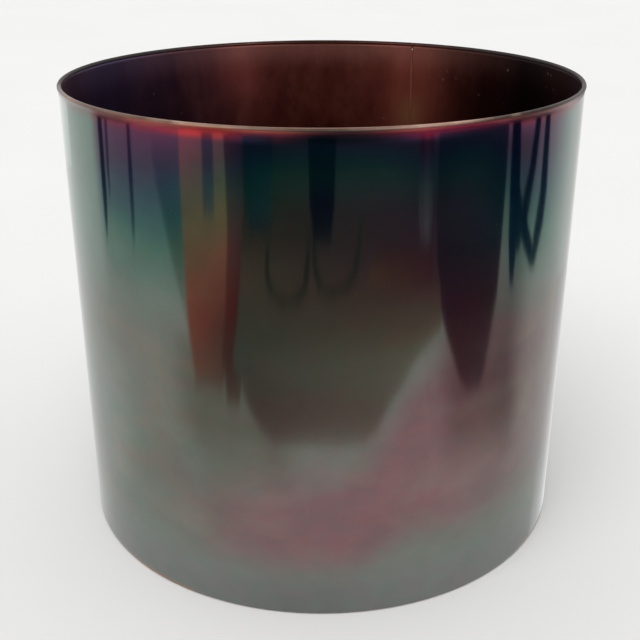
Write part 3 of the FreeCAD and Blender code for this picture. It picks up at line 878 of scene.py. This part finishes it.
def wall_material():
    t = WallGraph("heat_coloured_copper_and_painted_light")
    az, depth, pos = t.az, t.depth, t.pos
    tint = film_colour(t)
    for paint in (flare_painted_light, sides_painted_reflection, lower_patches, wall_painted_light):
        tint = paint(t, tint)
    for settings, low, high in MOTTLING:
        tint = t.multiply(tint, t.mix(t.noise(pos, **settings), low, high))
    inner, stain, painted_streak, painted_light_under_lip = inside_colour(t)

    # where is what
    is_in = t.step(t.mark, 1.2, 1.8)
    round_lip = t.step(t.mark, 0.24, 0.36) * (1.0 - is_in)
    past_top = t.step(t.mark, 0.66, 0.78)
    lip_noise = t.noise(pos, 55.0, detail=4, rough=0.6, distort=0.3, seed=2.2, stretch=(1, 1, 1))
    colour = t.mix(round_lip, tint, lip_colour(t, lip_noise))
    inner_all = t.larger(is_in, past_top)
    colour = t.mix(inner_all, colour, inner)

    # rubbed lower edge: bare orange-brown copper in places
    rubbed = t.step(t.noise(pos, 18.0, detail=3, rough=0.6, seed=4.4), 0.55, 0.66)
    edge = t.step(depth, 270.9, 272.6) * t.larger(t.lobe(-42, 7) * 1.0, rubbed)
    edge = edge * (1.0 - inner_all)
    colour = t.mix(edge * 0.85, colour, (0.42, 0.21, 0.09))

    # surface: lines round the pot, pits, faint haze
    lines = t.noise(pos, 1.0, detail=3, rough=0.6, seed=0.5, stretch=(10, 10, 900))
    hairlines = t.noise(pos, 1.0, detail=2, rough=0.5, seed=3.5, stretch=(22, 22, 2600))
    pitted = t.noise(pos, 60.0, detail=1, rough=0.5, seed=15.0)
    pit = t.step(t.cells(pos, 230.0), 0.11, 0.04) * t.step(pitted, 0.60, 0.66)
    haze = t.noise(pos, 22.0, detail=4, rough=0.6, distort=0.4, seed=31.0, stretch=(1, 1, 1.6))
    rough_out = 0.080 + (haze - 0.4) * 0.06
    rough_out = rough_out + hairlines * 0.02
    rough_in = 0.27 + stain * 0.20
    rough = rough_out * (1.0 - inner_all) + rough_in * inner_all
    rough = rough + round_lip * 0.10
    flare = t.step(depth, 5.6, 2.6) * (1.0 - inner_all)
    rough = rough + flare * 0.20
    rough = rough + pit * 0.25
    height = lines * 0.0034 + hairlines * 0.0009        # mm
    height = height - pit * 0.03
    height = height + (stain * inner_all) * 0.08
    height = height + (lip_noise * round_lip) * 0.03

    # painted shade: the rim is drawn dark, dull and rough at the sides and back, where its edge
    # shows as a dark outline
    sides = t.larger(t.window(az, (54, 72), (165, 130)), t.window(az, (-74, -79), (-165, -130)))
    rim_painted_shade = sides * (t.step(depth, 5.0, 2.6) * (1.0 - is_in))
    colour = t.mix(rim_painted_shade * 0.85, colour, (0.035, 0.028, 0.026))
    dull = is_in * (0.04 + (painted_streak * 0.24 + painted_light_under_lip * 0.20))
    return t.principled(
        Base_Color=colour,
        Metallic=1.0 - t.larger(t.smaller(dull, 0.6), rim_painted_shade * 0.85),
        Roughness=rough + rim_painted_shade * 0.25,
        Anisotropic=0.85 * (1.0 - inner_all),
        Tangent=t.combine(0.0, 0.0, 1.0),
        Normal=t.bump(height))


# ---------------------------------------------------------------------------
# other materials
# ---------------------------------------------------------------------------
def braze_material():
    t = new_graph("old_braze")
    pos = t.position()
    z = t.separate(pos)[2]
    grain = t.noise(pos, 140.0, detail=4, rough=0.6, distort=0.3, seed=2.0, stretch=(1, 1, 0.5))
    slow = t.noise(pos, 30.0, detail=3, rough=0.5, seed=6.0)
    colour = t.ramp(grain, [(0.3, (0.20, 0.12, 0.06)), (0.5, (0.36, 0.25, 0.13)),
                            (0.7, (0.50, 0.39, 0.22))])
    colour = t.mix(t.step(slow, 0.5, 0.7, 0, 0.6), colour, (0.15, 0.075, 0.055))
    upper = t.step(z, Z_TOP - 150 * MM, Z_TOP - 70 * MM)
    colour = t.mix(upper * 0.9, colour, (0.42, 0.145, 0.085))
    ripple = t.node("ShaderNodeTexWave", wave_type="BANDS", bands_direction="Z")
    t.fill(ripple, Vector=pos, Scale=260.0, Distortion=3.0)
    return t.principled(Base_Color=colour, Metallic=1.0 - upper * 0.18,
                        Roughness=0.36 + grain * 0.25,
                        Normal=t.bump(t.out(ripple, "Fac") * 0.035 + grain * 0.05))


def pan_material():
    t = new_graph("base_copper")
    pos = t.position()
    x, y, _ = t.separate(pos)
    radius = t.math("SQRT", x * x + y * y)
    rings = t.noise(t.combine(radius * 900.0, 0.0, 0.0), 1.0, detail=3, rough=0.6, seed=1.0)
    stain = t.noise(pos, 22.0, detail=5, rough=0.62, distort=1.0, seed=8.0)
    dust = t.noise(pos, 60.0, detail=4, rough=0.7, seed=14.0)
    colour = t.ramp(stain, [(0.28, (0.13, 0.055, 0.042)), (0.5, (0.27, 0.12, 0.085)),
                            (0.74, (0.40, 0.20, 0.14))])
    edge = t.step(radius, 0.125, 0.149)
    colour = t.mix(t.step(dust, 0.52, 0.70) * (0.25 + edge * 0.4), colour, (0.20, 0.17, 0.15))
    return t.principled(Base_Color=colour, Metallic=1.0 - t.step(dust, 0.55, 0.72) * 0.35,
                        Roughness=0.34 + dust * 0.30,
                        Normal=t.bump(rings * 0.02 + stain * 0.06))


def solder_material():
    t = new_graph("grey_solder")
    pos = t.position()
    grain = t.noise(pos, 120.0, detail=5, rough=0.6, distort=0.4, seed=2.5)
    flux = t.noise(pos, 26.0, detail=4, rough=0.6, distort=0.8, seed=9.5)
    colour = t.ramp(grain, [(0.3, (0.24, 0.235, 0.225)), (0.55, (0.38, 0.375, 0.365)),
                            (0.75, (0.52, 0.51, 0.49))])
    colour = t.mix(t.step(flux, 0.55, 0.7, 0, 0.7), colour, (0.16, 0.10, 0.055))
    return t.principled(Base_Color=colour, Metallic=0.9, Roughness=0.36 + grain * 0.28,
                        Normal=t.bump(grain * 0.08))


def rubber_material():
    t = new_graph("black_rubber")
    pos = t.position()
    z = t.separate(pos)[2]
    grain = t.noise(pos, 900.0, detail=4, rough=0.7, seed=1.0)
    scuff = t.noise(pos, 90.0, detail=4, rough=0.6, distort=0.5, seed=5.0)
    sole = t.step(z, 0.0012, 0.0002)
    colour = t.ramp(scuff, [(0.3, (0.016, 0.016, 0.017)), (0.7, (0.034, 0.033, 0.032))])
    colour = t.mix(sole * t.step(scuff, 0.4, 0.65, 0.15, 0.6), colour, (0.11, 0.105, 0.10))
    return t.principled(Base_Color=colour, Metallic=0.0, Roughness=0.62 + grain * 0.25,
                        Normal=t.bump(grain * 0.03))


def wire_material():
    t = new_graph("drawn_steel_wire")
    pos = t.position()
    grain = t.noise(pos, 300.0, detail=3, rough=0.6, seed=1.0)
    rust = t.noise(pos, 60.0, detail=4, rough=0.6, seed=3.0)
    colour = t.mix(t.step(rust, 0.5, 0.68, 0, 0.7), (0.42, 0.42, 0.43), (0.22, 0.10, 0.05))
    return t.principled(Base_Color=colour, Metallic=0.95, Roughness=0.28 + grain * 0.2,
                        Normal=t.bump(grain * 0.01))


def floor_material():
    t = new_graph("pale_floor")
    cloud = t.noise(t.position(), 3.0, detail=2, rough=0.5, seed=1.0)
    colour = t.ramp(cloud, [(0.3, (0.885, 0.885, 0.88)), (0.7, (0.90, 0.90, 0.895))])
    return t.principled(Base_Color=colour, Roughness=0.9, Specular_IOR_Level=0.1)


def card_material():
    """Plain light in the colour of the card's own `tone`."""
    t = new_graph("flag")
    glow = t.node("ShaderNodeEmission")
    tone = t.out(t.node("ShaderNodeAttribute", attribute_name="tone"), "Color")
    t.fill(glow, Color=tone, Strength=1.0)
    t.put(t.surface, t.out(glow))
    return t.owner


def assign(ob, material):
    ob.data.materials.clear()
    ob.data.materials.append(material)


assign(wall, wall_material())
braze = braze_material()
assign(bead, braze)
assign(seam_lip, braze)
assign(pan, pan_material())
assign(solder, solder_material())
rubber = rubber_material()
for pad in pads:
    assign(pad, rubber)
assign(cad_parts["rim_wire"], wire_material())

# (object, the CAD piece it replaces, its material slot)
PARTS = [(wall, "wall_sheet", "copper_outer"), (bead, "seam_braze", "braze"),
         (seam_lip, "seam_braze", "braze"), (pan, "base_pan", "copper_plain"),
         (solder, "base_solder_ring", "solder")]
PARTS += [(pad, node, "pad_rubber") for pad, node in zip(pads, PAD_NODES)]
for ob, node, slot in PARTS:
    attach(ob, "root")
    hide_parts(node)

# ---------------------------------------------------------------------------
# camera
# ---------------------------------------------------------------------------
POT_RADIUS = 0.1525                     # unit for the distances of camera and cards
CAMERA_PLACE = Vector((0.0, -3.9137 * POT_RADIUS, Z_LOW + 2.4132 * POT_RADIUS))
CAMERA_PITCH = 0.4028                   # radians below level
CAMERA_ROLL = -0.0015

camera = bpy.data.cameras.new("camera")
camera.lens = 55.46
camera.sensor_width = 36.0
camera.shift_x = -0.0030
camera.clip_start = 0.01
camera.clip_end = 50.0
camera_ob = bpy.data.objects.new("camera", camera)
camera_ob.matrix_world = (Matrix.Translation(CAMERA_PLACE)
                          @ Matrix.Rotation(math.pi / 2 - CAMERA_PITCH, 4, "X")
                          @ Matrix.Rotation(CAMERA_ROLL, 4, "Z"))
bpy.context.scene.collection.objects.link(camera_ob)
bpy.context.scene.camera = camera_ob


# ---------------------------------------------------------------------------
# studio: pale floor, soft light, and cards that only reflections see
# ---------------------------------------------------------------------------
def build_floor():
    half = 9.0
    mesh = bpy.data.meshes.new("floor")
    corners = [(-half, -half, 0), (half, -half, 0), (half, half, 0), (-half, half, 0)]
    mesh.from_pydata(corners, [], [(0, 1, 2, 3)])
    ob = bpy.data.objects.new("floor", mesh)
    bpy.context.scene.collection.objects.link(ob)
    assign(ob, floor_material())


def build_world():
    """Even white light on everything; reflections see a plain studio instead: white
    behind and at the sides, dim in front and above, with a soft window each side."""
    world = bpy.data.worlds.new("soft_white")
    bpy.context.scene.world = world
    t = Graph(world, "ShaderNodeOutputWorld")
    x, y, z = t.separate(t.position("Generated"))
    side = t.math("ABSOLUTE", t.azimuth(x, y))          # degrees from the front
    height = t.math("ARCSINE", z) * (180 / math.pi)     # degrees above level
    room = t.step(side, 62, 100, 0.16, 0.92)
    room = t.mix(t.step(height, 50, 75), room, 0.30)
    from_window = t.math("ABSOLUTE", side - 40.0)
    window = t.step(from_window, 24.0, 10.0) * t.window(height, (4, 14), (66, 50))
    room = t.mix(window, room, 1.15)
    dark_front = t.step(side, 18, 10) * t.step(height, 75, 55)
    room = t.mix(dark_front, room, 0.05)

    def background(colour, strength):
        node = t.node("ShaderNodeBackground")
        t.fill(node, Color=colour, Strength=strength)
        return t.out(node)

    choice = t.node("ShaderNodeMixShader")
    is_glossy = t.out(t.node("ShaderNodeLightPath"), "Is Glossy Ray")
    inputs = (is_glossy, background((1, 1, 1), 0.70), background(room, 1.0))
    for socket, value in zip(choice.inputs, inputs):
        t.put(socket, value)
    t.put(t.surface, t.out(choice))


def build_key_light():
    sun = bpy.data.lights.new("key", "SUN")
    sun.energy = 1.25
    sun.angle = math.radians(50)
    sun.color = (1.0, 0.99, 0.975)
    ob = bpy.data.objects.new("key", sun)
    shines_along = Vector((0.25, 0.75, -1.2))
    ob.rotation_euler = shines_along.to_track_quat("-Z", "Y").to_euler()
    ob.visible_glossy = False
    bpy.context.scene.collection.objects.link(ob)


build_floor()
build_world()
build_key_light()
CARD_MATERIAL = card_material()

# ---------------------------------------------------------------------------
# reflection cards, laid out by where the wall mirrors them: azimuth in degrees
# (0 front, + towards +X) and depth in mm below the lip
# ---------------------------------------------------------------------------
FLOOR_TONE = (0.86, 0.86, 0.85)
HIGH_TONE = (.62, .62, .62)             # cards pale towards this above the lip
REACH_UP = 75                           # mm that a card is carried on upwards...
NEAR_LIP = 6                            # ...if it starts no deeper than this
MM_PER_DEGREE = R_OUT / MM * math.pi / 180


def mirrored_ray(azimuth, depth):
    """The camera's ray after the wall mirrors it: start and direction."""
    a = math.radians(azimuth)
    normal = Vector((math.sin(a), -math.cos(a), 0))
    start = Vector((R_OUT * math.sin(a), -R_OUT * math.cos(a), Z_TOP - depth * MM))
    sight = (start - CAMERA_PLACE).normalized()
    return start, sight - 2 * sight.dot(normal) * normal


def on_drum(azimuth, depth, radius):
    """Where the mirrored ray meets an upright drum round the pot; radius in pot radii."""
    start, ray = mirrored_ray(azimuth, depth)
    radius = radius * POT_RADIUS
    a = ray.x * ray.x + ray.y * ray.y
    b = 2 * (start.x * ray.x + start.y * ray.y)
    c = start.x * start.x + start.y * start.y - radius * radius
    return start + (-b + math.sqrt(max(b * b - 4 * a * c, 0))) / (2 * a) * ray


def on_floor(azimuth, depth, height):
    """Where the mirrored ray comes down to this height."""
    start, ray = mirrored_ray(azimuth, depth)
    return start + ray * ((start.z - height) / -ray.z)


def lerp(a, b, share):
    return tuple(p * (1 - share) + q * share for p, q in zip(a, b))


def ease(v):
    v = min(max(v, 0.0), 1.0)
    return v ** 2 * (3 - 2 * v)


def make_card(name, verts, columns, tones):
    """A grid of vertices, row by row, seen by reflections only."""
    faces = []
    for i in range(len(verts) // columns - 1):
        for j in range(columns - 1):
            a = i * columns + j
            faces.append((a, a + 1, a + columns + 1, a + columns))
    mesh = bpy.data.meshes.new(name)
    mesh.from_pydata([tuple(v) for v in verts], [], faces)
    layer = mesh.color_attributes.new("tone", "FLOAT_COLOR", "POINT")
    for i, tone in enumerate(tones):
        layer.data[i].color = (*tone, 1.0)
    ob = bpy.data.objects.new(name, mesh)
    bpy.context.scene.collection.objects.link(ob)
    assign(ob, CARD_MATERIAL)
    for ray in ("camera", "diffuse", "transmission", "volume_scatter", "shadow"):
        setattr(ob, "visible_" + ray, False)


def graded_card(name, rows, columns, place, spacing, soft, ends):
    """rows: (depth, left azimuth, right azimuth, left colour, right colour), filled in
    about every `spacing` mm.  A soft card fades to the floor's tone over the share `soft`
    of its width at each side and over ends (mm) at its top and bottom."""
    stations = []
    for upper, lower in zip(rows, rows[1:]):
        count = max(1, int((lower[0] - upper[0]) / spacing))
        for i in range(count):
            share = i / count
            stations.append((*lerp(upper[:3], lower[:3], share),
                             lerp(upper[3], lower[3], share), lerp(upper[4], lower[4], share)))
    stations.append(rows[-1])
    verts, tones = [], []
    for depth, left, right, left_tone, right_tone in stations:
        row_full = 1.0
        if ends[0]:
            row_full *= ease((depth - rows[0][0]) / ends[0])
        if ends[1]:
            row_full *= ease((rows[-1][0] - depth) / ends[1])
        for j in range(columns):
            f = j / (columns - 1)
            full = row_full
            if soft:
                full = row_full * (ease(f / soft) * ease((1 - f) / soft))
            verts.append(place(left + (right - left) * f, depth))
            tones.append(lerp(FLOOR_TONE, lerp(left_tone, right_tone, f), full))
    make_card(name, verts, columns, tones)


def standing_card(name, radius, columns, rows, soft=0.0, ends=(0.0, 0.0)):
    """A card standing round the pot at this many pot radii."""
    if not soft and rows[0][0] <= NEAR_LIP:
        depth, left, right, *edge_tones = rows[0]
        pale = [lerp(tone, HIGH_TONE, .7) for tone in edge_tones]
        rows = [(depth - REACH_UP, left, right, *pale)] + rows
    graded_card(name, rows, columns, lambda az, depth: on_drum(az, depth, radius),
                spacing=4, soft=soft, ends=ends)


def lying_card(name, columns, rows, soft=0.0, ends=(0.0, 0.0), height=0.0008):
    """A card lying just above the floor."""
    graded_card(name, rows, columns, lambda az, depth: on_floor(az, depth, height),
                spacing=5, soft=soft, ends=ends)


def rod(name, radius, tone, points):
    """A thin strip along a line of (azimuth, depth, width in degrees)."""
    if points[0][1] <= NEAR_LIP:
        az, depth, width = points[0]
        points = [(az, depth - REACH_UP, width)] + points
    line = []
    for p, q in zip(points, points[1:]):
        length = math.hypot((q[0] - p[0]) * MM_PER_DEGREE, q[1] - p[1])
        count = max(1, int(length / 4))
        line += [lerp(p, q, i / count) for i in range(count)]
    line.append(points[-1])
    verts = []
    for i, (az, depth, width) in enumerate(line):
        p, q = line[max(i - 1, 0)], line[min(i + 1, len(line) - 1)]
        dx, dy = (q[0] - p[0]) * MM_PER_DEGREE, q[1] - p[1]
        length = math.hypot(dx, dy) or 1.0
        half = width * MM_PER_DEGREE / 2
        for side in (-1, 1):
            verts.append(on_drum(az + side * dy / length * half / MM_PER_DEGREE,
                                 depth - side * dx / length * half, radius))
    make_card(name, verts, 2, [tone] * len(verts))


# name: (pot radii away, columns, rows as in graded_card)
STANDING_CARDS = {
    # the dark shape in the middle, paler low on its right
    "flag_centre": (2.12, 25, [
        (3, -14, 21, (.10, .24, .24), (.20, .26, .34)),
        (14, -14, 21, (.07, .15, .14), (.13, .16, .20)),
        (38, -14, 21, (.06, .08, .06), (.10, .06, .11)),
        (56, -14.8, 21.4, (.11, .09, .07), (.11, .06, .11)),
        (68, -15, 21.6, (.20, .15, .12), (.14, .06, .11)),
        (80, -15.5, 22.5, (.22, .16, .13), (.20, .08, .10)),
        (104, -16.5, 23.2, (.17, .18, .15), (.38, .25, .20)),
        (120, -17.5, 18.2, (.20, .20, .18), (.48, .42, .35)),
        (146, -14.4, 12.6, (.27, .16, .16), (.46, .31, .29)),
        (158, -12.0, 10.4, (.34, .20, .20), (.50, .34, .32)),
        (165, -9.5, 7.8, (.44, .30, .28), (.54, .38, .36))]),
    "flag_dark_a": (2.06, 5, [
        (3, -13.8, -8.4, (.05, .16, .20), (.05, .16, .20)),
        (50, -13.2, -9, (.02, .06, .10), (.04, .07, .07))]),
    "flag_dark_b": (2.06, 5, [
        (3, -2.4, 2.6, (.03, .15, .17), (.03, .15, .17)),
        (14, -2.3, 2.4, (.01, .06, .08), (.01, .06, .08)),
        (36, -2.2, 2.2, (.01, .01, .04), (.01, .01, .04)),
        (54, -1.4, 1.6, (.01, .03, .05), (.01, .03, .05))]),
    "flag_streak": (2.08, 7, [
        (57, 10, 20.5, (.10, .05, .08), (.10, .05, .08)),
        (77, 8, 20.8, (.32, .15, .10), (.18, .04, .07))]),
    # the plum shape on the right, narrowing to a point
    "flag_right": (2.16, 13, [
        (3, 20.5, 36.4, (.07, .17, .22), (.10, .18, .24)),
        (14, 20.5, 36.4, (.04, .10, .13), (.06, .12, .16)),
        (32, 20.6, 36.5, (.07, .05, .09), (.03, .07, .11)),
        (62, 21, 36.5, (.05, .03, .06), (.04, .06, .10)),
        (92, 22.3, 36.3, (.12, .03, .07), (.10, .05, .07)),
        (118, 25.6, 35.0, (.17, .08, .10), (.17, .14, .18)),
        (136, 28.0, 34.0, (.18, .12, .15), (.20, .17, .20)),
        (144, 30.0, 33.0, (.28, .22, .25), (.30, .28, .30))]),
    "flag_halo_right": (2.30, 21, [
        (4, 24, 49, (.50, .50, .50), (.46, .46, .50)),
        (60, 24, 47.5, (.50, .50, .50), (.46, .50, .54)),
        (90, 18, 47.5, (.68, .62, .62), (.40, .42, .44)),
        (120, 20, 47, (.60, .52, .52), (.54, .48, .50)),
        (160, 23, 47, (.42, .32, .33), (.48, .40, .41))]),
    # the warm strip on the left, copper above and rust below
    "flag_tan": (2.3, 9, [
        (2, -26.2, -17.2, (1.0, .9, .8), (.7, .9, .7)),
        (14, -26.3, -17.2, (1.9, 1.3, .9), (1.0, 1.0, .6)),
        (34, -26.4, -17.2, (1.6, .7, .45), (1.0, .45, .3)),
        (66, -26.4, -17.3, (1.0, .34, .24), (.6, .22, .16)),
        (100, -26.6, -17.8, (.75, .2, .16), (.28, .1, .1)),
        (136, -25.4, -19.4, (.45, .27, .22), (.34, .2, .17))]),
    "flag_slot": (2.26, 3, [
        (6, -21.6, -19.4, (.38, .56, .6), (.38, .56, .6)),
        (44, -21.8, -19.8, (.47, .3, .3), (.47, .3, .3))]),
    "flag_rust": (2.22, 5, [
        (3, -17.4, -13.6, (.36, .34, .36), (.16, .18, .26)),
        (50, -17.4, -13.6, (.35, .14, .13), (.13, .08, .12)),
        (92, -18.4, -13.6, (.32, .07, .07), (.14, .03, .04)),
        (120, -19.4, -15, (.22, .1, .1), (.18, .08, .09)),
        (144, -18.6, -16.4, (.3, .17, .14), (.3, .17, .14))]),
    "flag_halo_left": (2.45, 15, [
        (104, -34, -8, (.60, .58, .56), (.66, .58, .52)),
        (134, -34, -7, (.60, .55, .50), (.52, .45, .40)),
        (158, -33, -5, (.62, .56, .50), (.50, .44, .40))]),
    "flag_shade": (2.7, 5, [
        (12, -32.6, -26.2, (.86, .76, .8), (.86, .76, .8)),
        (26, -32.2, -26.2, (.5, .64, .7), (.58, .67, .7)),
        (44, -31, -26.2, (.33, .5, .5), (.33, .5, .5)),
        (66, -29.6, -26.3, (.5, .46, .42), (.5, .46, .42)),
        (100, -26.9, -26.4, (.6, .56, .54), (.6, .56, .54))]),
}
SOFT_EDGES = {"flag_halo_right": dict(soft=0.26, ends=(8.0, 14.0)),
              "flag_halo_left": dict(soft=0.30, ends=(10.0, 14.0))}
for name, card in STANDING_CARDS.items():
    standing_card(name, *card, **SOFT_EDGES.get(name, {}))

LOOP_TONE = (.06, .07, .06)
LEG_TONE = (.02, .06, .13)
# (name, pot radii away, colour, points as in rod)
RODS = [
    ("loop_a", 2.04, LOOP_TONE, [
        (-9.9, 58, .6), (-10.2, 72, .8), (-9.2, 81, 1.3), (-7.2, 85.5, 2.1), (-4.6, 84, 1.9),
        (-3.0, 77, 1.1), (-2.5, 64, .8), (-2.2, 52, .6)]),
    ("loop_b", 2.04, LOOP_TONE, [
        (-1.6, 54, .6), (-1.2, 68, .8), (-.2, 77, 1.4), (1.8, 80.5, 2.1), (4.4, 78, 1.8),
        (6.0, 70, 1.0), (6.8, 56, .8), (7.0, 40, .6)]),
    ("gleam_a", 2.10, (.165, .125, .175), [(18.6, 3, 2.6), (18.8, 40, 2.8), (19.2, 72, 1.2)]),
    ("gleam_b", 2.09, (.22, .16, .225), [(18.8, 6, 1.0), (19.0, 36, 1.3), (19.3, 62, .5)]),
    ("leg_a", 3.6, (.07, .10, .19), [(-46.7, 2, 1.5), (-47.0, 45, 1.5), (-47.4, 66, .6)]),
    ("leg_b", 3.6, (.24, .25, .38), [(-44.6, 2, .9), (-45.1, 28, .8), (-45.2, 46, .3)]),
    ("leg_c", 3.6, (.19, .20, .33), [(-38.0, 2, .8), (-38.4, 30, 1.1), (-38.8, 64, .6)]),
    ("leg_d", 2.24, LEG_TONE, [(38.4, 2, 2.3), (39.0, 28, 2.9), (39.9, 62, 2.9), (40.5, 90, 1.1)]),
    ("leg_e", 2.22, LEG_TONE, [(45.0, 4, 1.8), (44.3, 30, 2.2), (42.8, 52, 2.9), (40.8, 72, 2.4)]),
    ("leg_f", 2.23, LEG_TONE, [(39.4, 34, 1.6), (41.8, 54, 2.7), (44.8, 70, 2.8), (46.8, 82, 1.8)]),
    ("leg_g", 2.24, (.03, .07, .14), [
        (48.3, 3, 1.8), (48.9, 44, 2.5), (48.2, 62, 3.0), (46.8, 84, 1.8)]),
]
for entry in RODS:
    rod(*entry)

lying_card("floor_shade_right", 21, [
    (130, 20.0, 48.0, (.52, .42, .43), (.58, .50, .52)),
    (150, 21.0, 48.0, (.46, .35, .36), (.50, .42, .43)),
    (165, 22.0, 48.0, (.60, .52, .52), (.48, .43, .43)),
    (180, 22.0, 48.0, (.84, .79, .80), (.60, .54, .55)),
    (206, 22.0, 47.0, (.84, .80, .80), (.84, .80, .80))], soft=0.24, ends=(0.0, 22.0))
lying_card("floor_shade_left", 17, [
    (130, -35.0, -3.0, (.66, .61, .54), (.52, .46, .41)),
    (158, -34.0, -3.0, (.64, .58, .52), (.50, .44, .40)),
    (178, -30.0, -2.0, (.80, .76, .72), (.60, .54, .51)),
    (206, -28.0, -2.0, (.82, .78, .76), (.80, .75, .74))],
    soft=0.28, ends=(0.0, 24.0), height=0.0012)
# pale cards seen at the very sides
standing_card("screen_left", 6.5, 5, [
    (0, -74.6, -62.5, (1.02, 1.03, 1.02), (1.24, 1.24, 1.23)),
    (60, -74.6, -64.0, (.96, .97, .96), (1.0, 1.0, .99)),
    (120, -74.6, -66.0, (.96, .96, .95), (.92, .92, .91))])
lying_card("sheet_right", 11, [
    (100, 60.0, 74.8, (.84, .84, .84), (.90, .90, .90)),
    (170, 60.0, 74.8, (.80, .80, .80), (1.0, 1.0, 1.0)),
    (215, 59.0, 74.8, (.76, .76, .76), (1.0, 1.0, 1.0)),
    (272, 58.0, 74.8, (.76, .76, .76), (1.06, 1.06, 1.06))])

view = bpy.context.scene.view_settings
view.view_transform = "Standard"
view.look = "None"
view.exposure = 0.0
view.gamma = 1.0
